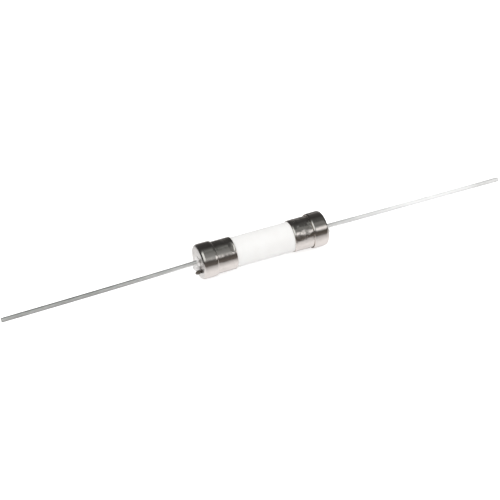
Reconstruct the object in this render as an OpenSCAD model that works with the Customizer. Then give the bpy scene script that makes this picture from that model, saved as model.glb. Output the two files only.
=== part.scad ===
// Ceramic cartridge fuse with axial wire leads.
// The fuse lies along X, with its middle at the origin. Every piece is turned about X, and the
// pieces of the left end mirror those of the right end. The caps grow outwards from the tube:
// the contact cap fits over the tube, and the lead cap over the contact cap's closed end.

/* [Ceramic tube] */
// Outer diameter of the tube
tube_od = 4.8; // [4.4:0.1:6.5]
// Bore of the tube
tube_bore = 3; // [2:0.1:3.6]
// Length of the tube
tube_len = 19.9; // [14:0.1:40]
// Rounding of the tube's outer rims
tube_rim = 0.2; // [0.05:0.05:0.3]

/* [Contact caps] */
// Sheet thickness of a contact cap
contact_wall = 0.18; // [0.12:0.02:0.3]
// Length of a contact cap, over its closed end
contact_len = 5.3; // [3:0.1:6]
// Outer corner radius at the closed end
contact_corner = 0.35; // [0.3:0.05:0.6]
// Rounding of the mouth's outer edge
contact_lip = 0.08; // [0.02:0.02:0.1]

/* [Lead caps] */
// Sheet thickness of a lead cap
lead_cap_wall = 0.2; // [0.14:0.02:0.3]
// Length of a lead cap, over its closed end
lead_cap_len = 2.5; // [1.5:0.1:2.8]
// Outer corner radius at the closed end
lead_cap_corner = 0.4; // [0.3:0.05:0.6]
// Rounding of the mouth's outer edge
lead_cap_lip = 0.12; // [0.02:0.02:0.12]

/* [Leads] */
// Diameter of the lead wire
lead_d = 0.7; // [0.5:0.05:1]
// Free length of a lead, from the cap's face to the tip
lead_len = 31.5; // [10:0.5:60]
// Edge break at the cut tip
lead_tip = 0.05; // [0.02:0.01:0.1]
// Diameter of the upset head inside the lead cap
head_d = 1.8; // [1.4:0.1:2.6]
// Thickness of the upset head
head_t = 0.2; // [0.1:0.05:0.4]
// How far heading has swollen the lead's radius just under the head
root_swell = 0.07; // [0.02:0.01:0.15]
// How far past the bead that swelling reaches
root_past = 0.15; // [0.1:0.05:0.5]

/* [Solder beads] */
// Diameter of the bead where it meets the cap's face
bead_d = 1.9; // [1.6:0.1:2.6]
// Height of the bead's dome over the cap's face
bead_h = 0.3; // [0.2:0.05:0.8]
// Radius of the concave neck between the bead and the lead
bead_neck = 0.25; // [0.1:0.05:0.5]
// Radius of the drop that hung from the bead before it froze
drop_r = 0.62; // [0.5:0.02:0.8]
// Distance from the lead's axis to the drop's centre
drop_off = 0.68; // [0.4:0.02:0.9]
// Height of the drop's centre over the cap's face
drop_rise = 0.38; // [0.2:0.02:0.6]
// How far the drop hangs below the horizontal, seen along the fuse
drop_dip = 45; // [0:5:90]

/* [Inside] */
// Diameter of the fuse element
element_d = 0.2; // [0.1:0.02:0.4]
// Least distance from the element to the wall of the bore
element_margin = 0.35; // [0.1:0.05:0.6]
// Solder left between the element's end and the contact cap
element_cover = 0.25; // [0.1:0.05:0.4]
// Depth of the solder in each end of the bore
inner_solder_t = 0.8; // [0.6:0.05:2]

/* [Clearances] */
// Radial room between the tube and a contact cap
tube_fit = 0.02; // [0.01:0.01:0.05]
// Room between the tube's end and the floor of a contact cap
tube_end_gap = 0.02; // [0.01:0.01:0.05]
// Radial room between a contact cap and a lead cap
cap_fit = 0.02; // [0.01:0.01:0.05]
// Room between the lead's head and the floor of the lead cap
head_gap = 0.01; // [0.01:0.01:0.05]
// Radial room between the lead's root and its hole in the lead cap
hole_fit = 0.03; // [0.01:0.01:0.1]
// Radial room between the lead and its solder bead
bead_fit = 0.01; // [0.01:0.01:0.03]
// Room round the sand filler and the inner solder
fill_fit = 0.02; // [0.01:0.01:0.05]
// Room round the element in the sand and in the solder
element_fit = 0.02; // [0.01:0.01:0.05]

/* [Hidden] */

$fn = 96;
// How far a cutter runs past the face that it cuts
over = 0.5;

tube_r = tube_od / 2;
bore_r = tube_bore / 2;
lead_r = lead_d / 2;
root_r = lead_r + root_swell;

// Radii of the two nested cups, from the inside out
contact_in_r = tube_r + tube_fit;
contact_out_r = contact_in_r + contact_wall;
lead_cap_in_r = contact_out_r + cap_fit;
lead_cap_out_r = lead_cap_in_r + lead_cap_wall;

// Places along X on the right-hand end
contact_floor = tube_len / 2 + tube_end_gap;
contact_end = contact_floor + contact_wall;
contact_mouth = contact_end - contact_len;
lead_cap_floor = contact_end + head_t + head_gap;
lead_cap_end = lead_cap_floor + lead_cap_wall;
lead_cap_mouth = lead_cap_end - lead_cap_len;
lead_end = lead_cap_end + lead_len;
solder_face = contact_floor - inner_solder_t;

// The element runs slantwise through the bore, from low on the left to high on the right
element_x = contact_floor - element_cover;
element_z = bore_r - element_margin - element_d / 2;
element_len = 2 * norm([element_x, element_z]);
element_tilt = atan2(element_z, element_x);

// The bead's dome is part of a sphere that meets the cap's face at the bead's diameter
bead_r = (pow(bead_d / 2, 2) + pow(bead_h, 2)) / (2 * bead_h);
bead_centre = lead_cap_end + bead_h - bead_r;
// Centre of the neck's arc, which touches both the lead and the dome
neck_x = lead_r + bead_neck;
neck_z = bead_centre + sqrt(pow(bead_r + bead_neck, 2) - pow(neck_x, 2));
// Where the neck's arc touches the dome
touch_share = bead_r / (bead_r + bead_neck);
touch_x = neck_x * touch_share;
touch_z = bead_centre + (neck_z - bead_centre) * touch_share;
// Top of the bead along the lead, or of its drop where that is higher
bead_top = max(neck_z, lead_cap_end + drop_rise + drop_r);
// Where the lead has come down to the wire's own size
root_end = bead_top + root_past;

// Takes the square corner at radius r and height z off a half section, to leave radius c.
// way is 1 at the lower end of a bar and -1 at its upper end.
module corner_cut(r, z, c, way) {
  difference() {
    translate([r - c, way > 0 ? z - over : z - c])
      square([c + over, c + over]);
    translate([r - c, z + way * c])
      circle(c);
  }
}

// Half section of a round bar from z0 to z1, with its two outer corners rounded
module bar_half(r, z0, z1, low_round = 0, high_round = 0) {
  difference() {
    translate([0, z0])
      square([r, z1 - z0]);
    if (low_round > 0)
      corner_cut(r, z0, low_round, 1);
    if (high_round > 0)
      corner_cut(r, z1, high_round, -1);
  }
}

// Half section of a drawn cup of even sheet, open at the mouth and closed at z_end
module cup_half(out_r, wall, z_mouth, z_end, corner, lip) {
  difference() {
    bar_half(out_r, z_mouth, z_end, lip, corner);
    bar_half(out_r - wall, z_mouth - over, z_end - wall, 0, max(corner - wall, 0));
  }
}

// Turns a half section about the X axis
module turned() {
  rotate([0, 90, 0])
    rotate_extrude()
      children();
}

// The other end of the fuse
module left() {
  mirror([1, 0, 0])
    children();
}

// A bar along the element's slant, larger than the element by fit all round
module element_bar(fit = 0) {
  rotate([0, 90 - element_tilt, 0])
    cylinder(r = element_d / 2 + fit, h = element_len + 2 * fit, center = true);
}

module tube_shape() {
  turned()
    difference() {
      bar_half(tube_r, -tube_len / 2, tube_len / 2, tube_rim, tube_rim);
      translate([0, -tube_len / 2 - over])
        square([bore_r, tube_len + 2 * over]);
    }
}

module contact_cap_shape() {
  turned()
    cup_half(contact_out_r, contact_wall, contact_mouth, contact_end, contact_corner, contact_lip);
}

module lead_cap_shape() {
  turned()
    difference() {
      cup_half(lead_cap_out_r, lead_cap_wall, lead_cap_mouth, lead_cap_end, lead_cap_corner, lead_cap_lip);
      translate([0, lead_cap_floor - over])
        square([root_r + hole_fit, lead_cap_wall + 2 * over]);
    }
}

// Half section of the lead's swollen root, which tapers to the wire's own size just past the bead,
// and is larger all round by fit
module root_half(fit = 0) {
  polygon([
    [0, contact_end],
    [root_r + fit, contact_end],
    [lead_r + fit, root_end],
    [0, root_end]
  ]);
}

// A straight wire whose head is trapped between the two cups
module lead_wire_shape() {
  turned()
    union() {
      bar_half(head_d / 2, contact_end, contact_end + head_t);
      root_half();
      bar_half(lead_r, contact_end, lead_end, 0, lead_tip);
    }
}

// Half section of a low dome on the cap's face, which runs out into a concave neck along the lead
module bead_half() {
  intersection() {
    translate([0, bead_centre])
      circle(bead_r);
    translate([0, lead_cap_end])
      square([bead_r + over, bead_h + over]);
  }
  difference() {
    polygon([
      [lead_r, lead_cap_end],
      [touch_x, touch_z],
      [neck_x, neck_z],
      [lead_r, neck_z]
    ]);
    translate([neck_x, neck_z])
      circle(bead_neck);
  }
}

// The drop on the bead's lower front side, a whole ball that reaches through the cap's face
module drop_ball() {
  translate([lead_cap_end + drop_rise, -drop_off * cos(drop_dip), -drop_off * sin(drop_dip)])
    sphere(drop_r);
}

module lead_solder_shape() {
  difference() {
    union() {
      turned()
        bead_half();
      drop_ball();
    }
    turned()
      root_half(bead_fit);
    turned()
      translate([0, lead_cap_end - 2 * drop_r])
        square([drop_off + drop_r + over, 2 * drop_r]);
  }
}

module inner_solder_shape() {
  turned()
    bar_half(bore_r - fill_fit, solder_face, contact_floor);
}

module ceramic_tube() {
  color([0.95, 0.95, 0.93])
    tube_shape();
}

module sand_filler() {
  color([0.86, 0.82, 0.74])
    difference() {
      turned()
        bar_half(bore_r - fill_fit, -solder_face + fill_fit, solder_face - fill_fit);
      element_bar(element_fit);
    }
}

module fuse_element() {
  color([0.8, 0.8, 0.78])
    element_bar();
}

module inner_solder_left() {
  color([0.62, 0.63, 0.65])
    difference() {
      left()
        inner_solder_shape();
      element_bar(element_fit);
    }
}

module inner_solder_right() {
  color([0.62, 0.63, 0.65])
    difference() {
      inner_solder_shape();
      element_bar(element_fit);
    }
}

module contact_cap_left() {
  color([0.72, 0.7, 0.68])
    left()
      contact_cap_shape();
}

module contact_cap_right() {
  color([0.72, 0.7, 0.68])
    contact_cap_shape();
}

module lead_cap_left() {
  color([0.78, 0.76, 0.74])
    left()
      lead_cap_shape();
}

module lead_cap_right() {
  color([0.78, 0.76, 0.74])
    lead_cap_shape();
}

module lead_wire_left() {
  color([0.7, 0.7, 0.69])
    left()
      lead_wire_shape();
}

module lead_wire_right() {
  color([0.7, 0.7, 0.69])
    lead_wire_shape();
}

module lead_solder_left() {
  color([0.82, 0.82, 0.83])
    left()
      lead_solder_shape();
}

module lead_solder_right() {
  color([0.82, 0.82, 0.83])
    lead_solder_shape();
}

ceramic_tube();
sand_filler();
fuse_element();
inner_solder_left();
inner_solder_right();
contact_cap_left();
contact_cap_right();
lead_cap_left();
lead_cap_right();
lead_wire_left();
lead_wire_right();
lead_solder_left();
lead_solder_right();
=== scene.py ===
import math

import bmesh
import bpy
from bpy.props import FloatProperty, FloatVectorProperty, PointerProperty
from mathutils import Matrix, Vector, noise


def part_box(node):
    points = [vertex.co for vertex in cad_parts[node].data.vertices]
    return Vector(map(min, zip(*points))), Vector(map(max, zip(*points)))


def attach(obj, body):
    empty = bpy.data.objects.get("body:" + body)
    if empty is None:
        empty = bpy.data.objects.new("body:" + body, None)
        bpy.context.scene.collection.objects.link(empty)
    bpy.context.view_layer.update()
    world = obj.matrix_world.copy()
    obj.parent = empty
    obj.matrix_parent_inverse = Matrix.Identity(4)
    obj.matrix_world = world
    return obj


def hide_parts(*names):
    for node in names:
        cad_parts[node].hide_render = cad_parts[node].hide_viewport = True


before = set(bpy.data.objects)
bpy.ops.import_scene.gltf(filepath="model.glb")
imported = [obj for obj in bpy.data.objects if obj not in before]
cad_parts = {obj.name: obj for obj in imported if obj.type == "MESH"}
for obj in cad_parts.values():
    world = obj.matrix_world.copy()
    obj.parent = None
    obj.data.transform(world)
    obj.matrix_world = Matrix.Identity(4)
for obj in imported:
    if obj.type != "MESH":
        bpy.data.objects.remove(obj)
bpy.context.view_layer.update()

bl_info = {
    "name": "Ceramic Cartridge Fuse",
    "version": (1, 0, 0),
    "blender": (4, 5, 0),
    "location": "View3D > Sidebar > Fuse",
    "description": "Makes a ceramic cartridge fuse with its leads, finishes and a small studio",
    "category": "Object",
}

# Sections are drawn in millimetres, and a finished piece is brought to metres in one step
MM = 1000.0
MICRON = 1e-6
BODY = "root"
SIDES = {"left": -1, "right": 1}

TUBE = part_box("ceramic_tube")[1]
CONTACT_MOUTH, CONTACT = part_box("contact_cap_right")
LEAD_CAP_MOUTH, LEAD_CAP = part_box("lead_cap_right")
LEAD_START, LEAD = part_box("lead_wire_right")
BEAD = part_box("lead_solder_right")[1]

# Steps once round the tube and the caps, a lead and a bead
BODY_STEPS = 160
LEAD_STEPS = 48
BEAD_STEPS = 64

# From here to MELT_GRAIN in millimetres: longest edges along a section, where it shows and elsewhere
TUBE_SPACING = (0.25, 1.5)
CONTACT_SPACING = (0.09, 0.5)
LEAD_CAP_SPACING = (0.08, 0.5)
LEAD_SPACING = (0.35, 0.2)

# Radii of small edges, and margins within which a point counts to a surface or to its skin
BORE_RIM = 0.06
INNER_LIP = 0.03
LEAD_RIM = 0.05
ON_SURFACE = 0.01
IN_SKIN = 0.02
ON_BEAD = 0.03
ROUND_HOLE = 0.05
RIM_SKIN = 0.1
FACE_SKIN = 0.15

# Depth and width of slow unevenness
TUBE_WAVES = (0.006, 2.2)
LEAD_WAVES = (0.004, 2.4)
SOLDER_LUMPS = (0.05, 0.55)
DARK_RIDGE_LUMPS = (0.02, 0.35)

# Length of a contact cap's smooth closed end, half length of the dent, length of a lead's tip, of what
# is pinched there and height of its ridge, and the melt's grain
CLOSED_END = 0.4
DENT_LENGTH = 0.5
TIP = 0.2
PINCH_LENGTH = 0.45
PINCH_RIDGE = 0.07
MELT_GRAIN = 0.035

# Half angle of the dent, share of the thickness that is pinched, how much more a lead bends near its
# root, rounds of smoothing on the solder, and a ripple's second wave: its share, how much finer it is
DENT_ANGLE = math.radians(24)
PINCH = 0.16
ROOT_BEND = 0.4
SMOOTHINGS = 6
SECOND_WAVE = 0.4
FINER = 2.7


def length(name, description, default):
    return FloatProperty(name=name, description=description, default=default, unit="LENGTH", precision=5)


def share(name, description, default):
    return FloatProperty(name=name, description=description, default=default, min=0, subtype="FACTOR")


def angle(name, description, degrees):
    return FloatProperty(
        name=name, description=description, default=math.radians(degrees), subtype="ANGLE"
    )


def colour(name, description, default):
    return FloatVectorProperty(
        name=name, description=description, default=default, min=0, max=1, size=3, subtype="COLOR"
    )


class FuseSizes(bpy.types.PropertyGroup):
    """Sizes of the fuse's own pieces, whose defaults are the CAD frame's"""

    tube_radius: length("Tube radius", "Outer radius of the ceramic tube", TUBE.z)
    tube_end: length("Tube end", "Half the length of the ceramic tube", TUBE.x)
    tube_bore: length("Tube bore", "Radius of the bore", 0.0015)
    tube_rim: length("Tube rim", "Rounding of the tube's outer rims", 0.0002)
    contact_radius: length("Contact cap radius", "Outer radius of a contact cap", CONTACT.z)
    contact_end: length("Contact cap end", "Place of a contact cap's closed end", CONTACT.x)
    contact_mouth: length("Contact cap mouth", "Place of a contact cap's mouth", CONTACT_MOUTH.x)
    contact_wall: length("Contact cap sheet", "Sheet thickness of a contact cap", 0.00018)
    contact_corner: length("Contact cap corner", "Outer corner radius at the closed end", 0.00035)
    lead_cap_radius: length("Lead cap radius", "Outer radius of a lead cap", LEAD_CAP.z)
    lead_cap_end: length("Lead cap end", "Place of a lead cap's face", LEAD_CAP.x)
    lead_cap_mouth: length("Lead cap mouth", "Place of a lead cap's mouth", LEAD_CAP_MOUTH.x)
    lead_cap_wall: length("Lead cap sheet", "Sheet thickness of a lead cap", 0.0002)
    lead_cap_corner: length("Lead cap corner", "Depth of its corner, across the cap", 0.0004)
    lead_cap_shoulder: length("Lead cap shoulder", "Length of that corner, along the cap", 0.00056)
    sharp_lip: length("Sharp lip", "Rounding of the left contact cap's mouth", 0.00008)
    soft_lip: length("Soft lip", "Rounding of the other caps' mouths", 0.00014)
    soft_lip_length: length("Soft lip length", "Length of the soft lips along the caps", 0.00036)
    dent_depth: length("Dent depth", "Depth of the dent in the left contact cap", 0.00006)
    dent_place: length("Dent place", "From the mouth to the dent's middle", 0.00052)
    dent_angle: angle("Dent angle", "Where the dent is, from the front up", 64)
    lead_hole: length("Lead hole", "Radius of the hole in a lead cap's face", 0.00045)
    lead_radius: length("Lead radius", "Radius of the free lead wire", 0.00035)
    root_radius: length("Root radius", "Radius of the lead just under its head", 0.00042)
    root_end: length("Root end", "Place where the root's taper ends", BEAD.x + 0.00015)
    lead_end: length("Lead end", "Place of a lead's cut tip", LEAD.x)
    head_radius: length("Head radius", "Radius of the lead's upset head", LEAD.z)
    head_start: length("Head start", "Place of the head's outer side", LEAD_START.x)
    head_thickness: length("Head thickness", "Thickness of the upset head", 0.0002)
    bead_radius: length("Bead radius", "Radius of a solder bead on the cap's face", BEAD.z)
    bead_height: length("Bead height", "Height of the bead's low dome over the face", 0.0003)
    bead_neck: length("Bead neck", "Radius of the hollow between bead and lead", 0.00025)
    drop_radius: length("Drop radius", "Radius of the drop on the bead's lower side", 0.00062)
    drop_off: length("Drop offset", "From the lead's axis to the drop's centre", 0.00068)
    drop_rise: length("Drop rise", "Height of the drop's centre over the face", 0.00038)
    drop_dip: angle("Drop dip", "How far below the horizontal the drop hangs", 45)
    # Place, turn, lean and half sizes of the dark ridge along the drop's lower side
    dark_ridge_off: length("Flux offset", "From the lead's axis to the flux's middle", 0.00153)
    dark_ridge_rise: length("Flux rise", "Height of the flux's middle over the face", 0.00034)
    dark_ridge_turn: angle("Flux turn", "How far the flux's middle is turned up from the drop", -3)
    dark_ridge_lean: angle("Flux lean", "How far the flux leans away from the lead", 8)
    dark_ridge_size: FloatVectorProperty(
        name="Flux size", description="Half sizes out of the face, round the lead and across",
        default=(0.0005, 0.00048, 0.00031), size=3, unit="LENGTH", precision=5,
    )


class FuseFinish(bpy.types.PropertyGroup):
    """Colours and surface detail of the fuse's materials"""

    ceramic: colour("Ceramic", "Fired white ceramic", (0.905, 0.898, 0.885))
    ceramic_pore: colour("Ceramic pore", "Tiny pits and dust in the ceramic", (0.66, 0.62, 0.57))
    nickel: colour("Nickel", "Bright nickel plate", (0.8, 0.745, 0.715))
    nickel_dull: colour("Dull nickel", "Nickel plate with a film of handling", (0.7, 0.645, 0.61))
    nickel_edge: colour("Nickel edge", "Thin plate over brass on the rims", (0.63, 0.55, 0.46))
    tin: colour("Tin", "Tinned skin of the leads", (0.84, 0.835, 0.82))
    tin_dull: colour("Dull tin", "Streaks of dull tin along the leads", (0.7, 0.69, 0.67))
    # Pale tone over parts of the leads: a painted highlight near the left lead's root, and a paler, less
    # shiny right lead
    pale_tin_and_highlight: colour("Tin bloom", "Pale film that covers part of a lead", (0.94, 0.94, 0.935))
    wire_core: colour("Wire core", "Sheared metal on the cut tips", (0.74, 0.71, 0.68))
    solder: colour("Solder", "Bright solder of the beads", (0.96, 0.935, 0.925))
    solder_dull: colour("Dull solder", "Frosty patches of the solder", (0.84, 0.82, 0.812))
    wash: colour("Solder wash", "Thin solder that ran over a lead cap's face", (0.72, 0.71, 0.7))
    # Colours of the dark ridge along the drop's lower side, darkest and lighter; the lighter one also
    # colours the painted dark reflection spot
    dark_ridge: colour("Flux", "Burnt flux left under a bead", (0.045, 0.038, 0.032))
    ridge_and_painted_reflection: colour("Thin flux", "Flux where it lies thin", (0.16, 0.13, 0.105))
    sand: colour("Sand", "Quartz sand", (0.74, 0.69, 0.6))
    sand_dark: colour("Dark sand", "Darker grains and the gaps between them", (0.42, 0.37, 0.3))
    cap_ripple: length("Lead cap ripple", "Depth of the waves in the lead caps", 0.00002)
    left_ripple: length("Left contact ripple", "Depth of the waves in the left one", 0.000045)
    right_ripple: length("Right contact ripple", "Depth of the waves in the right one", 0.00009)
    ripple_width: length("Ripple width", "Size of the waves in the caps", 0.0013)
    right_width: length("Right ripple width", "Size of the waves in the right contact cap", 0.0008)
    left_droop: length("Left droop", "How far the left lead's tip hangs down", 0.0006)
    right_droop: length("Right droop", "How far the right lead's tip hangs down", 0.00015)


class StudioSetup(bpy.types.PropertyGroup):
    """The plain studio round the fuse"""

    floor_radius: length("Floor radius", "Radius of the round floor", 1.0)
    dome_radius: length("Dome radius", "Radius of the dome that metal mirrors", 1.0)
    floor_white: share("Floor white", "Paleness of the floor", 0.92)
    floor_lift: share("Floor lift", "White that the camera sees over the floor's shading", 0.55)
    mirror_lift: share("Mirror lift", "How far the floor is plain white where metal mirrors it", 0.72)
    under_shade: share("Shade under", "Paleness of the mirrored floor close under the fuse", 0.61)
    floor_near: length("Near floor", "Distance from the fuse at which the mirrored floor dims", 0.005)
    floor_fade: length("Floor fade", "Further distance at which it has dimmed to a half", 0.0115)
    ambient: share("Ambient", "Strength of the even light from all round", 0.84)
    lamp_distance: length("Lamp distance", "Distance of the two soft lamps", 0.6)
    lamp_width: angle("Lamp width", "Angle that a lamp spans, seen from the fuse", 42)
    lamp_strength: share("Lamp strength", "Brightness of a lamp's face, where 1 is white", 1.4)
    focal_length: FloatProperty(
        name="Focal length", description="Lens of the camera in millimetres", default=125.144
    )


def sizes():
    return bpy.context.scene.fuse_sizes


def finish():
    return bpy.context.scene.fuse_finish


def studio():
    return bpy.context.scene.fuse_studio


# Sections and turning

def section(corners):
    """A flat half section in the XZ plane, through (x, radius) corners in millimetres"""
    bm = bmesh.new()
    verts = [bm.verts.new((x, 0, r)) for x, r in corners]
    bm.faces.new(verts)
    return bm, verts


def round_corner(bm, vert, radius, segments):
    """Rounds a corner of the section, and returns the points of its arc"""
    rounded = bmesh.ops.bevel(
        bm, geom=[vert], offset=radius, offset_type="OFFSET", segments=segments, profile=0.5,
        affect="VERTICES", clamp_overlap=False, material=-1,
    )
    return rounded["verts"]


def open_section(bm):
    """Leaves only the section's outline, without its stretch on the axis"""
    bmesh.ops.delete(bm, geom=bm.faces[:], context="FACES_ONLY")
    on_axis = [e for e in bm.edges if all(v.co.z < 1e-6 for v in e.verts)]
    bmesh.ops.delete(bm, geom=on_axis, context="EDGES")


def divide_outline(bm, spacing, shown):
    """Cuts each edge evenly, by the first spacing where shown(edge), else by the second"""
    for edge in bm.edges[:]:
        longest = spacing[0] if shown(edge) else spacing[1]
        cuts = math.ceil(edge.calc_length() / longest) - 1
        if cuts > 0:
            bmesh.ops.subdivide_edges(bm, edges=[edge], cuts=cuts)


def turn(bm, count):
    """Spins an outline once round the X axis and closes its seam and poles"""
    bmesh.ops.spin(
        bm, geom=bm.verts[:] + bm.edges[:], cent=(0, 0, 0), axis=(1, 0, 0), angle=2 * math.pi,
        steps=count, use_merge=True,
    )
    bmesh.ops.remove_doubles(bm, verts=bm.verts[:], dist=1e-4)
    bmesh.ops.recalc_face_normals(bm, faces=bm.faces[:])


def to_side(bm, side):
    """Turns a right-hand piece into the one of the given side"""
    if SIDES[side] < 0:
        bmesh.ops.scale(bm, vec=(-1, 1, 1), verts=bm.verts[:])
        bmesh.ops.recalc_face_normals(bm, faces=bm.faces[:])


def ripple(bm, depth, width, shift, skin):
    """Sinks the skin's points below the true surface by a slow, even noise"""
    bm.normal_update()
    moves = []
    for v in bm.verts:
        if skin(v):
            wave = noise.noise(v.co / width + shift)
            wave += SECOND_WAVE * noise.noise(v.co / width * FINER - shift)
            moves.append((v, v.normal * depth * (wave / (1 + SECOND_WAVE) - 1) / 2))
    for v, move in moves:
        v.co += move


def bead_dome(s):
    """Centre of the bead's dome, and centre of the hollow between dome and lead"""
    foot = s.bead_radius * MM
    height = s.bead_height * MM
    neck = s.bead_neck * MM
    dome = (foot * foot + height * height) / (2 * height)
    centre = s.lead_cap_end * MM + height - dome
    out = s.lead_radius * MM + neck
    hollow = Vector((centre + math.sqrt((dome + neck) ** 2 - out ** 2), 0, out))
    return centre, hollow


def stretch_from(bm, verts, place, factor):
    """Stretches points along the axis, away from the given place"""
    at_place = Matrix.Translation((-place, 0, 0))
    bmesh.ops.scale(bm, vec=(factor, 1, 1), space=at_place, verts=verts)


def soft_lip(bm, vert, s):
    """Rounds a cap's mouth by a lip that is longer along the cap than it is deep"""
    lip = round_corner(bm, vert, s.soft_lip * MM, 10)
    mouth = min(v.co.x for v in lip)
    stretch_from(bm, lip, mouth, s.soft_lip_length / s.soft_lip)


def dent(bm, depth, place, turn_up):
    """Pushes the wall in at one place, given along the cap and by the angle from the front up"""
    for v in bm.verts:
        along = (v.co.x - place) / DENT_LENGTH
        round_cap = (math.atan2(v.co.z, -v.co.y) - turn_up) / DENT_ANGLE
        near = 1 - along * along - round_cap * round_cap
        if near > 0:
            pushed = 1 - depth * near * near * (3 - 2 * near) / v.co.yz.length
            v.co.y *= pushed
            v.co.z *= pushed


def make_piece(bm, name, materials, node=None):
    """Checks a piece's shell, brings it to metres and hands it to the frame"""
    open_edges = [e for e in bm.edges if not e.is_manifold]
    if open_edges or not bm.faces:
        raise RuntimeError(f"{name} isn't closed: {len(open_edges)} open edges")
    if bm.calc_volume(signed=True) <= 0:
        raise RuntimeError(f"{name} is inside out")
    bmesh.ops.scale(bm, vec=(1 / MM,) * 3, verts=bm.verts[:])
    for face in bm.faces:
        face.smooth = True
    mesh = bpy.data.meshes.new(name)
    bm.to_mesh(mesh)
    bm.free()
    piece = bpy.data.objects.new(name, mesh)
    bpy.context.scene.collection.objects.link(piece)
    for material in materials:
        mesh.materials.append(material)
    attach(piece, BODY)
    if node:
        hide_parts(node)


# Material making

def blank_material(name):
    """A material with nothing but its output and its object coordinates"""
    material = bpy.data.materials.new(name)
    material.use_nodes = True
    tree = material.node_tree
    tree.nodes.clear()
    output = add(tree, "ShaderNodeOutputMaterial")
    return material, output, add(tree, "ShaderNodeTexCoord").outputs["Object"]


def new_material(name):
    """A material with its principled shader and its object coordinates"""
    material, output, place = blank_material(name)
    shader = add(place.id_data, "ShaderNodeBsdfPrincipled")
    feed(output, {"Surface": shader.outputs["BSDF"]})
    return material, shader, place


def feed(node, inputs):
    """Fills a node's inputs with values or with other nodes' outputs"""
    for name, value in inputs.items():
        if isinstance(value, bpy.types.NodeSocket):
            node.id_data.links.new(value, node.inputs[name])
        else:
            node.inputs[name].default_value = value


def add(tree, kind, inputs=None, **settings):
    """Adds a shader node with its settings, and fills its inputs"""
    made = tree.nodes.new(kind)
    for name, value in settings.items():
        setattr(made, name, value)
    feed(made, inputs or {})
    return made


def axes(place):
    """The three coordinates of a place"""
    return add(place.id_data, "ShaderNodeSeparateXYZ", {"Vector": place}).outputs


def grain(place, scale, detail, roughness=0.5, distortion=0):
    """A noise on the object's coordinates"""
    inputs = {
        "Vector": place, "Scale": scale, "Detail": detail, "Roughness": roughness,
        "Distortion": distortion,
    }
    return add(place.id_data, "ShaderNodeTexNoise", inputs).outputs["Fac"]


def streaks(place, scale, detail, roughness=0.6, turned=(0, 0, 0)):
    """A noise that runs one way, by its scale along each axis"""
    inputs = {"Vector": place, "Scale": scale, "Rotation": turned}
    mapped = add(place.id_data, "ShaderNodeMapping", inputs).outputs["Vector"]
    return grain(mapped, 1, detail, roughness)


def cells(place, scale):
    """Distances and colours of a Voronoi pattern's cells"""
    return add(place.id_data, "ShaderNodeTexVoronoi", {"Vector": place, "Scale": scale}).outputs


def spread(value, low, high, to_low=0, to_high=1):
    """Maps one range of values onto another, with soft ends"""
    inputs = {
        "Value": value, "From Min": low, "From Max": high, "To Min": to_low, "To Max": to_high,
    }
    made = add(value.id_data, "ShaderNodeMapRange", inputs, interpolation_type="SMOOTHSTEP")
    return made.outputs["Result"]


def blend(factor, low, high):
    """A colour between two, by a factor"""
    inputs = {"Factor": factor, "A": low, "B": high}
    for name in ("A", "B"):
        if not isinstance(inputs[name], bpy.types.NodeSocket):
            inputs[name] = (*inputs[name], 1)
    return add(factor.id_data, "ShaderNodeMix", inputs, data_type="RGBA").outputs["Result"]


def calc(operation, first, second=0):
    """A step of arithmetic, of which at least one side is a node's output"""
    tree = (first if isinstance(first, bpy.types.NodeSocket) else second).id_data
    return add(tree, "ShaderNodeMath", {0: first, 1: second}, operation=operation).outputs["Value"]


def times(first, second):
    return calc("MULTIPLY", first, second)


def distance(first, second):
    """Length of a way made of two at right angles"""
    return calc("SQRT", calc("ADD", times(first, first), times(second, second)))


def relief(height, depth, under=None):
    """A bump of the given depth in metres, over an earlier one"""
    inputs = {"Height": height, "Distance": depth, "Strength": 1}
    if under is not None:
        inputs["Normal"] = under
    return add(height.id_data, "ShaderNodeBump", inputs).outputs["Normal"]


def ceramic_material():
    """Fired white ceramic: a fine dull grain, faint cloudiness and a few pits"""
    look = finish()
    material, shader, place = new_material("fired_ceramic")
    cloud = spread(grain(place, 420, 3), 0.3, 0.7, 0, 0.1)
    pits = spread(cells(place, 2600)["Distance"], 0.05, 0.16, 1, 0)
    rare = spread(grain(place, 900, 1), 0.6, 0.68)
    specks = times(pits, rare)
    tone = blend(cloud, look.ceramic, look.ceramic_pore)
    tone = blend(times(specks, 0.35), tone, look.ceramic_pore)
    rough = spread(grain(place, 1500, 2), 0.3, 0.7, 0.4, 0.52)
    skin = relief(grain(place, 9000, 3, 0.6), 1.2 * MICRON)
    skin = relief(times(specks, -1), 4 * MICRON, skin)
    feed(shader, {
        "Base Color": tone, "Roughness": rough, "Normal": skin, "IOR": 1.55, "Specular IOR Level": 0.4,
    })
    return material


# In metres, the middle of the painted dark reflection spot on the way from the lead up to the front, its
# scales along and across that way, and where it begins and ends to fade
SPOT_MIDDLE = 0.00162
SPOT_ALONG = 0.25
SPOT_ACROSS = 0.7
SPOT_FADE = (0.00008, 0.00036)


def painted_reflection_spot(place):
    """A painted dark reflection spot over the bead and the lead cap's face, from the lead up to the front
    """
    parts = axes(place)
    outwards = calc("SUBTRACT", calc("SUBTRACT", parts["Z"], parts["Y"]), SPOT_MIDDLE)
    across = calc("ADD", parts["Y"], parts["Z"])
    away = distance(times(outwards, SPOT_ALONG), times(across, SPOT_ACROSS))
    return spread(away, *SPOT_FADE, 1, 0)


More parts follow.
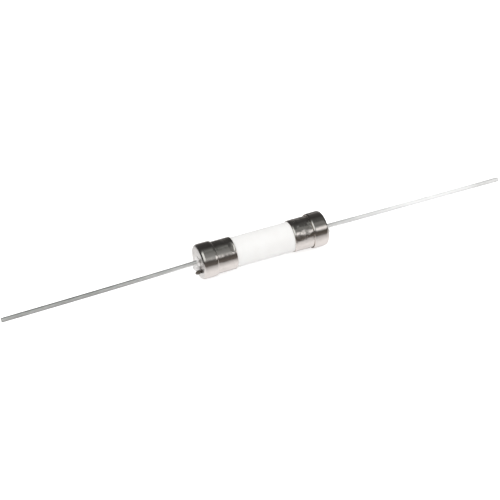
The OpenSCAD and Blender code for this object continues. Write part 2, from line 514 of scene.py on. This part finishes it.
def nickel_material(name, mouth, face, shine, hazy):
    """Bright nickel on a drawn cup: draw lines along it, handling scratches, worn lip, washed face"""
    look = finish()
    material, shader, place = new_material(name)
    film = spread(grain(place, 650, 3, 0.6, 0.4), 0.42, 0.72)
    plate = blend(times(film, 0.6), look.nickel, look.nickel_dull)
    outward = calc("ABSOLUTE", axes(place)["X"])
    lip = spread(outward, mouth, mouth + 0.00012, 1, 0)
    patchy = spread(grain(place, 2400, 2), 0.35, 0.65)
    worn = times(lip, patchy)
    plate = blend(times(worn, 0.7), plate, look.nickel_edge)
    at_face = spread(outward, face - 0.0002, face)
    plate = blend(times(at_face, 0.55), plate, look.wash)
    if face == sizes().lead_cap_end:
        # Painted dark reflection of the lead on the lead cap's face
        reflection_spot = times(painted_reflection_spot(place), at_face)
        plate = blend(times(reflection_spot, 0.7), plate, look.ridge_and_painted_reflection)
    drawn = streaks(place, (90, 5200, 5200), 3)
    first = streaks(place, (700, 6500, 6500), 2, turned=(0.2, 0.5, 0.35))
    second = streaks(place, (6500, 700, 700), 2, turned=(0.4, -0.3, 0.6))
    scratches = calc("MAXIMUM", spread(first, 0.66, 0.74), spread(second, 0.67, 0.75))
    haze = spread(grain(place, 1200, 3), 0.42, 0.68, shine, shine + hazy)
    haze = calc("ADD", haze, times(scratches, 0.1))
    haze = calc("ADD", haze, times(at_face, 0.2))
    skin = relief(drawn, 0.8 * MICRON)
    skin = relief(times(scratches, -1), MICRON, skin)
    feed(shader, {"Base Color": plate, "Roughness": haze, "Normal": skin, "Metallic": 1})
    return material


# Places along a lead where the pale tone's middle share is reached, and its tip's share begins and is
# reached
PALE_MIDDLE = 0.7 * LEAD.x
PALE_TIP = (0.8 * LEAD.x, 0.95 * LEAD.x)


def tinned_material(name, root, middle, tip):
    """Dull tin on a drawn wire, streaked along it, with shares of a paler, less metallic tone at root,
    middle and tip
    """
    look = finish()
    material, shader, place = new_material(name)
    drawn = streaks(place, (160, 4200, 4200), 3)
    patches = streaks(place, (500, 1500, 1500), 3, 0.55)
    dull = times(spread(drawn, 0.42, 0.66), spread(patches, 0.3, 0.7))
    tone = blend(dull, look.tin, look.tin_dull)
    outward = calc("ABSOLUTE", axes(place)["X"])
    # Share of the pale tone along the lead; near the left lead's root it is a painted highlight
    film = spread(outward, LEAD_CAP.x, PALE_MIDDLE, root, middle)
    film = calc("ADD", film, spread(outward, *PALE_TIP, 0, tip - middle))
    film = calc("ADD", film, spread(patches, 0.3, 0.7, -0.06, 0.06))
    skin = relief(drawn, 1.5 * MICRON)
    skin = relief(grain(place, 2200, 2), 1.5 * MICRON, skin)
    feed(shader, {
        "Base Color": blend(film, tone, look.pale_tin_and_highlight), "Normal": skin,
        "Metallic": calc("SUBTRACT", 1, film),
        "Roughness": spread(dull, 0, 1, 0.44, 0.54),
    })
    return material


def sheared_material():
    """Torn metal on a cut tip, with the cutter's lines across it"""
    look = finish()
    material, shader, place = new_material("sheared_tip")
    lines = streaks(place, (3000, 1200, 16000), 2, turned=(0.5, 0, 0))
    tone = blend(spread(lines, 0.35, 0.65), look.wire_core, look.tin)
    rough = spread(lines, 0.3, 0.7, 0.32, 0.48)
    skin = relief(lines, 6 * MICRON)
    feed(shader, {"Base Color": tone, "Roughness": rough, "Normal": skin, "Metallic": 0.4})
    return material


def solder_material():
    """Solder that froze bright, with frosty patches where it froze last"""
    look = finish()
    material, shader, place = new_material("bright_solder")
    frost = spread(grain(place, 1500, 3, 0.6, 0.5), 0.48, 0.66)
    tone = blend(frost, look.solder, look.solder_dull)
    # Painted dark reflection spot on the bead, joining the same spot on the face
    tone = blend(times(painted_reflection_spot(place), 0.6), tone, look.ridge_and_painted_reflection)
    rough = spread(frost, 0, 1, 0.18, 0.38)
    crystals = cells(place, 9000)["Distance"]
    skin = relief(grain(place, 3200, 2), 5 * MICRON)
    skin = relief(times(crystals, frost), 1.5 * MICRON, skin)
    feed(shader, {"Base Color": tone, "Roughness": rough, "Normal": skin, "Metallic": 0.22})
    return material


def dark_ridge_material():
    """The dark ridge's surface: near black and glassy, lighter in clouds"""
    look = finish()
    material, shader, place = new_material("dark_ridge_surface")
    clouds = spread(grain(place, 2600, 3, 0.6, 0.4), 0.4, 0.7)
    tone = blend(clouds, look.dark_ridge, look.ridge_and_painted_reflection)
    rough = spread(clouds, 0, 1, 0.3, 0.55)
    skin = relief(clouds, 4 * MICRON)
    feed(shader, {"Base Color": tone, "Roughness": rough, "Normal": skin, "IOR": 1.53})
    return material


def sand_material():
    """Packed quartz grains with darker gaps"""
    look = finish()
    material, shader, place = new_material("quartz_grains")
    grains = cells(place, 5200)
    gaps = spread(grains["Distance"], 0.25, 0.75)
    channels = add(place.id_data, "ShaderNodeSeparateColor", {"Color": grains["Color"]}).outputs
    tint = channels["Red"]
    tone = blend(spread(tint, 0, 1, 0, 0.45), look.sand, look.sand_dark)
    tone = blend(times(gaps, 0.8), tone, look.sand_dark)
    rough = spread(tint, 0, 1, 0.25, 0.75)
    skin = relief(times(gaps, -1), 50 * MICRON)
    feed(shader, {"Base Color": tone, "Roughness": rough, "Normal": skin, "IOR": 1.54})
    return material


# Pieces

class FUSE_OT_make_tube(bpy.types.Operator):
    """Turns the ceramic tube with its softly rounded rims"""

    bl_idname = "fuse.make_tube"
    bl_label = "Make Ceramic Tube"

    def execute(self, context):
        s = sizes()
        end = s.tube_end * MM
        outer = s.tube_radius * MM
        bore = s.tube_bore * MM
        bm, corners = section([(-end, bore), (-end, outer), (end, outer), (end, bore)])
        round_corner(bm, corners[1], s.tube_rim * MM, 6)
        round_corner(bm, corners[2], s.tube_rim * MM, 6)
        round_corner(bm, corners[0], BORE_RIM, 3)
        round_corner(bm, corners[3], BORE_RIM, 3)
        open_section(bm)
        half_way = (bore + outer) / 2
        divide_outline(bm, TUBE_SPACING, lambda edge: edge.verts[0].co.z > half_way)
        turn(bm, BODY_STEPS)
        ripple(bm, *TUBE_WAVES, Vector((3.1, 7.7, 1.9)), lambda v: v.co.yz.length > outer - RIM_SKIN)
        make_piece(bm, "fired_tube", [ceramic_material()], "ceramic_tube")
        return {"FINISHED"}


class FUSE_OT_make_contact_caps(bpy.types.Operator):
    """Turns the two contact caps, drawn cups pressed over the tube"""

    bl_idname = "fuse.make_contact_caps"
    bl_label = "Make Contact Caps"

    def execute(self, context):
        s = sizes()
        look = finish()
        place = (s.contact_mouth, s.contact_end)
        left = nickel_material("contact_nickel", *place, 0.08, 0.05)
        right = nickel_material("handled_nickel", *place, 0.08, 0.16)
        self.make_cap(s, "left", left, look.left_ripple, look.ripple_width)
        self.make_cap(s, "right", right, look.right_ripple, look.right_width)
        return {"FINISHED"}

    def make_cap(self, s, side, nickel, depth, width):
        outer = s.contact_radius * MM
        wall = s.contact_wall * MM
        mouth = s.contact_mouth * MM
        end = s.contact_end * MM
        inner = outer - wall
        bm, corners = section([
            (end, 0), (end, outer), (mouth, outer), (mouth, inner), (end - wall, inner), (end - wall, 0),
        ])
        round_corner(bm, corners[1], s.contact_corner * MM, 8)
        if side == "left":
            round_corner(bm, corners[2], s.sharp_lip * MM, 5)
        else:
            soft_lip(bm, corners[2], s)
        round_corner(bm, corners[3], INNER_LIP, 3)
        round_corner(bm, corners[4], (s.contact_corner - s.contact_wall) * MM, 6)
        open_section(bm)
        divide_outline(bm, CONTACT_SPACING, lambda edge: edge.verts[0].co.z > outer - ON_SURFACE)
        turn(bm, BODY_STEPS)
        ripple(
            bm, depth * MM, width * MM, Vector((1.3, 4.2 * SIDES[side], 8.8)),
            lambda v: v.co.yz.length > inner + IN_SKIN and v.co.x < end - CLOSED_END,
        )
        if side == "left":
            dent(bm, s.dent_depth * MM, mouth + s.dent_place * MM, s.dent_angle)
        to_side(bm, side)
        node = f"contact_cap_{side}"
        make_piece(bm, f"drawn_{node}", [nickel], node)


class FUSE_OT_make_lead_caps(bpy.types.Operator):
    """Turns the two lead caps, shorter cups pressed over the contact caps' closed ends"""

    bl_idname = "fuse.make_lead_caps"
    bl_label = "Make Lead Caps"

    def execute(self, context):
        s = sizes()
        nickel = nickel_material("lead_cap_nickel", s.lead_cap_mouth, s.lead_cap_end, 0.07, 0.05)
        for side in SIDES:
            self.make_cap(s, side, nickel)
        return {"FINISHED"}

    def make_cap(self, s, side, nickel):
        outer = s.lead_cap_radius * MM
        wall = s.lead_cap_wall * MM
        mouth = s.lead_cap_mouth * MM
        end = s.lead_cap_end * MM
        hole = s.lead_hole * MM
        inner = outer - wall
        bm, corners = section([
            (end, hole), (end, outer), (mouth, outer),
            (mouth, inner), (end - wall, inner), (end - wall, hole),
        ])
        shoulder = round_corner(bm, corners[1], s.lead_cap_corner * MM, 12)
        stretch_from(bm, shoulder, end, s.lead_cap_shoulder / s.lead_cap_corner)
        soft_lip(bm, corners[2], s)
        round_corner(bm, corners[3], INNER_LIP, 3)
        round_corner(bm, corners[4], (s.lead_cap_shoulder - s.lead_cap_wall) * MM, 6)
        open_section(bm)

        def shown(edge):
            on_side = edge.verts[0].co.z > outer - ON_SURFACE
            return on_side or min(v.co.x for v in edge.verts) > end - ON_SURFACE

        def on_skin(v):
            off = v.co.yz.length
            return off > inner + IN_SKIN or (v.co.x > end - FACE_SKIN and off > hole + ROUND_HOLE)

        divide_outline(bm, LEAD_CAP_SPACING, shown)
        turn(bm, BODY_STEPS)
        look = finish()
        waves = (look.cap_ripple * MM, look.ripple_width * MM)
        ripple(bm, *waves, Vector((6.3, 2.2 * SIDES[side], 3.8)), on_skin)
        to_side(bm, side)
        node = f"lead_cap_{side}"
        make_piece(bm, f"drawn_{node}", [nickel], node)


class FUSE_OT_make_leads(bpy.types.Operator):
    """Draws the two wire leads, with their heads and their sheared tips"""

    bl_idname = "fuse.make_leads"
    bl_label = "Make Leads"

    def execute(self, context):
        s = sizes()
        look = finish()
        cut = sheared_material()
        # Left lead: paler near its root, a painted highlight; right lead: paler and less shiny along its
        # middle and tip
        left = tinned_material("tinned_copper", 0.26, 0.1, 0.1)
        right = tinned_material("pale_right_tin", 0.5, 0.88, 0.62)
        self.make_lead(s, "left", [left, cut], look.left_droop * MM)
        self.make_lead(s, "right", [right, cut], look.right_droop * MM)
        return {"FINISHED"}

    def make_lead(self, s, side, materials, droop):
        start = s.head_start * MM
        under = start + s.head_thickness * MM
        neck = s.root_end * MM
        end = s.lead_end * MM
        head = s.head_radius * MM
        root = s.root_radius * MM
        wire = s.lead_radius * MM
        bm, corners = section([
            (start, 0), (start, head), (under, head), (under, root), (neck, wire), (end, wire), (end, 0),
        ])
        round_corner(bm, corners[1], LEAD_RIM, 3)
        round_corner(bm, corners[2], LEAD_RIM, 3)
        round_corner(bm, corners[5], LEAD_RIM, 4)
        open_section(bm)
        divide_outline(bm, LEAD_SPACING, lambda edge: min(v.co.x for v in edge.verts) > under)
        turn(bm, LEAD_STEPS)
        tip = end - TIP
        ripple(bm, *LEAD_WAVES, Vector((2.0, SIDES[side], 5.0)), lambda v: neck < v.co.x < tip)
        self.pinch(bm, end, wire)
        for v in bm.verts:
            way = max(0, (v.co.x - neck) / (end - neck))
            v.co.z -= droop * way * (1 + ROOT_BEND - ROOT_BEND * way)
        for face in bm.faces:
            is_cut = face.normal.x > 0.5 and face.calc_center_median().x > tip
            face.material_index = 1 if is_cut else 0
        to_side(bm, side)
        make_piece(bm, f"tinned_lead_{side}", materials, f"lead_wire_{side}")

    def pinch(self, bm, end, wire):
        """Squeezes the tip between two cutter blades, and leaves a low ridge across the cut"""
        for v in bm.verts:
            near = (v.co.x - (end - PINCH_LENGTH)) / PINCH_LENGTH
            if near > 0:
                v.co.z *= 1 - PINCH * near * near
                if v.co.x > end - ON_SURFACE:
                    v.co.x -= PINCH_RIDGE * abs(v.co.z) / wire


class FUSE_OT_make_solder_beads(bpy.types.Operator):
    """Pulls the two solder beads up round the roots of the leads"""

    bl_idname = "fuse.make_solder_beads"
    bl_label = "Make Solder Beads"

    def execute(self, context):
        s = sizes()
        solder = solder_material()
        for side in SIDES:
            self.make_bead(s, side, solder)
        return {"FINISHED"}

    def make_bead(self, s, side, solder):
        bm = bmesh.new()
        self.add_fillet(bm, s)
        self.add_drop(bm, s)
        melt_together(bm)
        skin = [v for v in bm.verts if v.co.x > s.lead_cap_end * MM + ON_BEAD]
        for _ in range(SMOOTHINGS):
            bmesh.ops.smooth_vert(
                bm, verts=skin, factor=0.5, use_axis_x=True, use_axis_y=True, use_axis_z=True,
            )
        lumps(bm, *SOLDER_LUMPS, Vector((4.7, 1.1 * SIDES[side], 0.4)), skin)
        to_side(bm, side)
        make_piece(bm, f"solder_bead_{side}", [solder], f"lead_solder_{side}")

    def add_fillet(self, bm, s):
        """The low dome that the lead passes through"""
        face = s.lead_cap_end * MM
        centre, hollow = bead_dome(s)
        low = math.atan2(face - centre, s.bead_radius * MM)
        touch = math.atan2(hollow.x - centre, hollow.z)
        first = bm.verts.new((face, 0, s.bead_radius * MM))
        arc = bmesh.ops.spin(
            bm, geom=[first], cent=(centre, 0, 0), axis=(0, 1, 0), angle=touch - low, steps=12,
        )
        last = [g for g in arc["geom_last"] if isinstance(g, bmesh.types.BMVert)]
        bmesh.ops.spin(
            bm, geom=last, cent=hollow, axis=(0, 1, 0), angle=-(math.pi / 2 - touch), steps=8,
        )
        rim = max(bm.verts, key=lambda v: v.co.x)
        inner_top = bm.verts.new((rim.co.x, 0, 0))
        inner_low = bm.verts.new((face, 0, 0))
        bm.edges.new((rim, inner_top))
        bm.edges.new((inner_low, first))
        turn(bm, BEAD_STEPS)

    def add_drop(self, bm, s):
        """The drop that froze on the bead's lower front side"""
        ball = bmesh.ops.create_uvsphere(bm, u_segments=48, v_segments=32, radius=s.drop_radius * MM)
        way = beside_lead(s, s.drop_off * MM, s.drop_dip, s.drop_rise * MM)
        bmesh.ops.translate(bm, vec=way, verts=ball["verts"])
        cut_at_face(bm, ball["verts"], s.lead_cap_end * MM)


def beside_lead(s, off, dip, rise):
    """A point over a right-hand face, off the lead's axis to the front and dip below the horizontal"""
    return Vector((s.lead_cap_end * MM + rise, -off * math.cos(dip), -off * math.sin(dip)))


def cut_at_face(bm, verts, face):
    """Takes away what of a ball reaches through a cap's face, and closes the cut"""
    edges = {e for v in verts for e in v.link_edges}
    faces = {f for v in verts for f in v.link_faces}
    cut = bmesh.ops.bisect_plane(
        bm, geom=[*verts, *edges, *faces], plane_co=(face, 0, 0), plane_no=(1, 0, 0), clear_inner=True,
    )
    rim = [g for g in cut["geom_cut"] if isinstance(g, bmesh.types.BMEdge)]
    bmesh.ops.edgeloop_fill(bm, edges=rim)


def melt_together(bm):
    """Melts overlapping shells into one skin, by a voxel remesh"""
    mesh = bpy.data.meshes.new("melt")
    bm.to_mesh(mesh)
    melt = bpy.data.objects.new("melt", mesh)
    bpy.context.scene.collection.objects.link(melt)
    remesh = melt.modifiers.new("Remesh", "REMESH")
    remesh.mode = "VOXEL"
    remesh.voxel_size = MELT_GRAIN
    whole = melt.evaluated_get(bpy.context.evaluated_depsgraph_get())
    bm.clear()
    bm.from_mesh(whole.to_mesh())
    whole.to_mesh_clear()
    bpy.data.objects.remove(melt)
    bpy.data.meshes.remove(mesh)


def lumps(bm, depth, width, shift, skin):
    """Raises and sinks the given points by a slow noise"""
    bm.normal_update()
    moves = [(v, v.normal * depth * noise.noise(v.co / width + shift)) for v in skin]
    for v, move in moves:
        v.co += move


class FUSE_OT_make_dark_ridge(bpy.types.Operator):
    """Puts a dark ridge on the left cap's face, along the drop's lower side"""

    bl_idname = "fuse.make_flux"
    bl_label = "Make Flux"

    def execute(self, context):
        s = sizes()
        off = s.dark_ridge_off * MM
        bm = bmesh.new()
        bmesh.ops.create_uvsphere(bm, u_segments=64, v_segments=40, radius=1)
        bmesh.ops.scale(bm, vec=[size * MM for size in s.dark_ridge_size], verts=bm.verts[:])
        for v in bm.verts:
            out, round_lead, across = v.co
            dip = s.drop_dip - s.dark_ridge_turn + round_lead / off
            across += out * math.tan(s.dark_ridge_lean)
            v.co = beside_lead(s, off + across, dip, s.dark_ridge_rise * MM + out)
        lumps(bm, *DARK_RIDGE_LUMPS, Vector((0.4, 2.9, 6.1)), bm.verts[:])
        cut_at_face(bm, bm.verts[:], s.lead_cap_end * MM)
        bmesh.ops.recalc_face_normals(bm, faces=bm.faces[:])
        to_side(bm, "left")
        make_piece(bm, "dark_ridge_left", [dark_ridge_material()])
        return {"FINISHED"}


class FUSE_OT_finish_inside(bpy.types.Operator):
    """Gives the sealed pieces inside the tube their own finishes"""

    bl_idname = "fuse.finish_inside"
    bl_label = "Finish Inside"

    def execute(self, context):
        insides = {
            "sand_filler": (sand_material(), "quartz_sand"),
            "fuse_element": (tinned_material("element_tin", 0, 0, 0), "element_wire"),
            "inner_solder_left": (solder_material(), "inner_solder"),
            "inner_solder_right": (solder_material(), "inner_solder"),
        }
        for name, (material, slot) in insides.items():
            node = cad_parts[name]
            node.data.materials.clear()
            node.data.materials.append(material)
        return {"FINISHED"}


# Stage

def emission(tree, tone, strength=1):
    return add(tree, "ShaderNodeEmission", {"Color": tone, "Strength": strength}).outputs["Emission"]


def mix_shader(factor, first, second):
    inputs = {0: factor, 1: first, 2: second}
    return add(factor.id_data, "ShaderNodeMixShader", inputs).outputs["Shader"]


# Where the mirrored floor changes, in metres: the shade under the fuse ends across it and along it, and
# the dark behind the leads begins across and along them, where the floor dims this many times sooner
SHADE_ACROSS = (0.0015, 0.0023)
SHADE_ALONG = (-0.0004, 0.0004)
DARK_ACROSS = (-0.004, -0.0018)
DARK_START = 0.0028
DARK_GROWS = 0.003
DARK_SOONER = 16


def floor_zones(place):
    """A floor point's distance from the body, and its shares in the shade and in the ends' dark"""
    parts = axes(place)
    past_face = calc("SUBTRACT", calc("ABSOLUTE", parts["X"]), LEAD_CAP.x)
    across = calc("ABSOLUTE", parts["Y"])
    shaded = spread(across, *SHADE_ACROSS, 1, 0)
    shaded = times(shaded, spread(past_face, *SHADE_ALONG, 1, 0))
    past_start = calc("MAXIMUM", calc("SUBTRACT", past_face, DARK_START), 0)
    behind = spread(parts["Y"], *DARK_ACROSS)
    ended = times(behind, spread(past_start, 0, DARK_GROWS))
    along = times(times(past_start, behind), DARK_SOONER)
    return distance(across, along), shaded, ended


def floor_material():
    """Pale floor that keeps the shadow under the fuse, and dims with distance where metal mirrors it"""
    setup = studio()
    material, output, place = blank_material("studio_floor")
    tree = place.id_data
    rays = add(tree, "ShaderNodeLightPath").outputs
    white = setup.floor_white
    dull = add(tree, "ShaderNodeBsdfDiffuse", {"Color": (white, white, white, 1)}).outputs["BSDF"]
    seen = calc("MAXIMUM", rays["Is Camera Ray"], rays["Is Transmission Ray"])
    glow = emission(tree, WHITE, times(seen, setup.floor_lift))
    pale = add(tree, "ShaderNodeAddShader", {0: dull, 1: glow}).outputs["Shader"]
    away, shaded, ended = floor_zones(place)
    far = calc("MAXIMUM", calc("SUBTRACT", away, setup.floor_near), 0)
    far = calc("DIVIDE", far, setup.floor_fade)
    dimmed = calc("SUBTRACT", 1, calc("DIVIDE", 1, calc("ADD", far, 1)))
    mirror = rays["Is Glossy Ray"]
    open_floor = emission(tree, WHITE, spread(shaded, 0, 1, 1, setup.under_shade))
    plain = mix_shader(times(mirror, setup.mirror_lift), pale, open_floor)
    far_off = emission(tree, blend(ended, STUDIO_DARK, END_DARK))
    feed(output, {"Surface": mix_shader(times(dimmed, mirror), plain, far_off)})
    return material


# Plain white, the soft box over the fuse, and the dark of the studio's low surroundings and of its ends
WHITE = (1, 1, 1, 1)
SOFT_BOX = (0.87, 0.92, 0.9)
STUDIO_DARK = (0.11, 0.103, 0.095)
END_DARK = (0.022, 0.021, 0.019)

# The soft box's two long edges round the axis and its two ends along it, where the left-hand tones give
# way to the right-hand ones, and where the left end turns dark
BOX_FRONT = (0.15, 0.29)
BOX_BACK = (0.59, 0.46)
BOX_RIGHT = (0.14, 0.02)
BOX_LEFT = (-0.8, -0.62)
TO_RIGHT = (0.275, 0.335)
TO_LEFT_END = (-0.76, -0.88)

# Tones that the left-hand and the right-hand caps mirror, round the fuse's axis from the front horizon
# (0) over the top to the back (1)
LEFT_TONES = (
    (0.0, (0.14, 0.128, 0.116)),
    (0.08, (0.105, 0.095, 0.087)),
    (0.15, (0.09, 0.085, 0.08)),
    (0.18, (0.2, 0.2, 0.196)),
    (0.22, (0.4, 0.413, 0.405)),
    (0.27, (0.37, 0.385, 0.378)),
    (0.32, (0.27, 0.28, 0.274)),
    (0.42, (0.205, 0.215, 0.208)),
    (0.48, (0.16, 0.168, 0.162)),
    (0.54, (0.2, 0.212, 0.205)),
    (0.58, (0.14, 0.146, 0.142)),
    (0.63, (0.07, 0.071, 0.069)),
    (0.69, (0.04, 0.041, 0.039)),
    (0.86, (0.05, 0.05, 0.049)),
    (1.0, (0.085, 0.085, 0.084)),
)
RIGHT_TONES = (
    (0.0, (0.16, 0.145, 0.13)),
    (0.07, (0.095, 0.084, 0.073)),
    (0.13, (0.09, 0.082, 0.074)),
    (0.17, (0.55, 0.56, 0.55)),
    (0.2, (1.0, 1.0, 1.0)),
    (0.25, (1.0, 1.0, 0.99)),
    (0.29, (0.48, 0.495, 0.485)),
    (0.33, (0.19, 0.196, 0.19)),
    (0.44, (0.2, 0.205, 0.197)),
    (0.51, (0.088, 0.091, 0.088)),
    (0.62, (0.072, 0.074, 0.072)),
    (0.7, (0.044, 0.044, 0.043)),
    (0.84, (0.066, 0.066, 0.065)),
    (0.92, (0.12, 0.12, 0.119)),
    (1.0, (0.34, 0.34, 0.336)),
)


def tone_ramp(turned, tones):
    ramp = add(turned.id_data, "ShaderNodeValToRGB", {"Fac": turned})
    stops = ramp.color_ramp.elements
    while len(stops) < len(tones):
        stops.new(0.5)
    for stop, (position, tone) in zip(stops, tones):
        stop.position = position
        stop.color = (*tone, 1)
    return ramp.outputs["Color"]


def dome_material():
    """What the metal mirrors: dark low surroundings, a grey ceiling and two soft boxes"""
    material, output, place = blank_material("studio_dome")
    parts = axes(place)
    along = calc("DIVIDE", parts["X"], studio().dome_radius)
    front = times(parts["Y"], -1)
    turned = calc("DIVIDE", calc("ARCTAN2", parts["Z"], front), math.pi)
    left = tone_ramp(turned, LEFT_TONES)
    right = tone_ramp(turned, RIGHT_TONES)
    tone = blend(spread(along, *TO_RIGHT), left, right)
    around = times(spread(turned, *BOX_FRONT), spread(turned, *BOX_BACK))
    in_length = times(spread(along, *BOX_RIGHT), spread(along, *BOX_LEFT))
    tone = blend(times(around, in_length), tone, SOFT_BOX)
    tone = blend(spread(along, *TO_LEFT_END), tone, END_DARK)
    feed(output, {"Surface": emission(place.id_data, tone)})
    return material


def stage_object(bm, name, material):
    mesh = bpy.data.meshes.new(name)
    bm.to_mesh(mesh)
    bm.free()
    mesh.materials.append(material)
    made = bpy.data.objects.new(name, mesh)
    bpy.context.scene.collection.objects.link(made)
    return made


# Directions from the fuse to the two soft lamps
LAMPS = {"lamp_left": (-0.7, 0, 0.7), "lamp_right": (0.6, -0.45, 0.66)}

CAMERA_PLACE = (-0.0836453, -0.1888428, 0.1739526)
CAMERA_FORWARD = (0.3032062, 0.7000202, -0.6465584)
CAMERA_UP = (0.2569795, 0.5932953, 0.7628645)


class FUSE_OT_set_stage(bpy.types.Operator):
    """Sets the floor, dome, lamps, even light and camera"""

    bl_idname = "fuse.set_stage"
    bl_label = "Set Stage"

    def execute(self, context):
        self.set_floor()
        self.set_dome()
        self.set_lamps()
        self.set_world()
        self.set_camera()
        return {"FINISHED"}

    def set_floor(self):
        bm = bmesh.new()
        bmesh.ops.create_circle(
            bm, cap_ends=True, segments=96, radius=studio().floor_radius,
            matrix=Matrix.Translation((0, 0, LEAD_CAP_MOUTH.z)),
        )
        stage_object(bm, "studio_floor", floor_material())

    def set_dome(self):
        bm = bmesh.new()
        bmesh.ops.create_uvsphere(bm, u_segments=64, v_segments=32, radius=studio().dome_radius)
        bmesh.ops.bisect_plane(
            bm, geom=bm.verts[:] + bm.edges[:] + bm.faces[:],
            plane_co=(0, 0, LEAD_CAP_MOUTH.z), plane_no=(0, 0, -1), clear_outer=True,
        )
        dome = stage_object(bm, "studio_dome", dome_material())
        for ray in ("camera", "diffuse", "shadow", "transmission"):
            setattr(dome, f"visible_{ray}", False)

    def set_lamps(self):
        setup = studio()
        radius = setup.lamp_distance * math.tan(setup.lamp_width / 2)
        for name, direction in LAMPS.items():
            lamp = bpy.data.lights.new(name, "AREA")
            lamp.shape = "DISK"
            lamp.size = 2 * radius
            lamp.energy = setup.lamp_strength * (math.pi * radius) ** 2
            holder = bpy.data.objects.new(name, lamp)
            aim = Vector(direction).normalized()
            holder.location = aim * setup.lamp_distance
            holder.rotation_euler = aim.to_track_quat("Z", "Y").to_euler()
            holder.visible_camera = False
            holder.visible_glossy = False
            bpy.context.scene.collection.objects.link(holder)

    def set_world(self):
        world = bpy.data.worlds.new("studio_world")
        bpy.context.scene.world = world
        world.use_nodes = True
        tree = world.node_tree
        tree.nodes.clear()
        output = add(tree, "ShaderNodeOutputWorld")
        even = studio().ambient
        level = (even, even, even, 1)
        rays = add(tree, "ShaderNodeLightPath").outputs
        seen = calc("MAXIMUM", rays["Is Camera Ray"], rays["Is Glossy Ray"])
        seen = calc("MAXIMUM", seen, rays["Is Transmission Ray"])
        soft = add(tree, "ShaderNodeBackground", {"Color": level, "Strength": 1})
        white = add(tree, "ShaderNodeBackground", {"Color": WHITE, "Strength": 1})
        lit = mix_shader(seen, soft.outputs["Background"], white.outputs["Background"])
        feed(output, {"Surface": lit})

    def set_camera(self):
        lens = bpy.data.cameras.new("studio_camera")
        lens.lens = studio().focal_length
        lens.sensor_width = 36
        lens.clip_start = 0.01
        lens.clip_end = 10
        camera = bpy.data.objects.new("studio_camera", lens)
        forward = Vector(CAMERA_FORWARD).normalized()
        right = forward.cross(Vector(CAMERA_UP)).normalized()
        up = right.cross(forward)
        turned = Matrix((right, up, -forward)).transposed().to_4x4()
        camera.matrix_world = Matrix.Translation(CAMERA_PLACE) @ turned
        bpy.context.scene.collection.objects.link(camera)
        bpy.context.scene.camera = camera
        bpy.context.scene.view_settings.view_transform = "Standard"


OPERATORS = (
    FUSE_OT_set_stage,
    FUSE_OT_make_tube,
    FUSE_OT_make_contact_caps,
    FUSE_OT_make_lead_caps,
    FUSE_OT_make_leads,
    FUSE_OT_make_solder_beads,
    FUSE_OT_make_dark_ridge,
    FUSE_OT_finish_inside,
)


class VIEW3D_PT_fuse(bpy.types.Panel):
    """Lists the fuse's sizes, finishes and making steps"""

    bl_label = "Ceramic Cartridge Fuse"
    bl_idname = "VIEW3D_PT_fuse"
    bl_space_type = "VIEW_3D"
    bl_region_type = "UI"
    bl_category = "Fuse"

    def draw(self, context):
        for group in (context.scene.fuse_sizes, context.scene.fuse_finish, context.scene.fuse_studio):
            box = self.layout.box()
            for name in group.bl_rna.properties.keys():
                if name not in ("rna_type", "name"):
                    box.prop(group, name)
        for operator in OPERATORS:
            self.layout.operator(operator.bl_idname)


GROUPS = {"fuse_sizes": FuseSizes, "fuse_finish": FuseFinish, "fuse_studio": StudioSetup}
CLASSES = (*GROUPS.values(), *OPERATORS, VIEW3D_PT_fuse)


def register():
    for made in CLASSES:
        bpy.utils.register_class(made)
    for name, group in GROUPS.items():
        setattr(bpy.types.Scene, name, PointerProperty(type=group))


def unregister():
    for name in GROUPS:
        delattr(bpy.types.Scene, name)
    for made in reversed(CLASSES):
        bpy.utils.unregister_class(made)


def main():
    register()
    bpy.ops.fuse.set_stage()
    bpy.ops.fuse.make_tube()
    bpy.ops.fuse.make_contact_caps()
    bpy.ops.fuse.make_lead_caps()
    bpy.ops.fuse.make_leads()
    bpy.ops.fuse.make_solder_beads()
    bpy.ops.fuse.make_flux()
    bpy.ops.fuse.finish_inside()


if __name__ == "__main__":
    main()
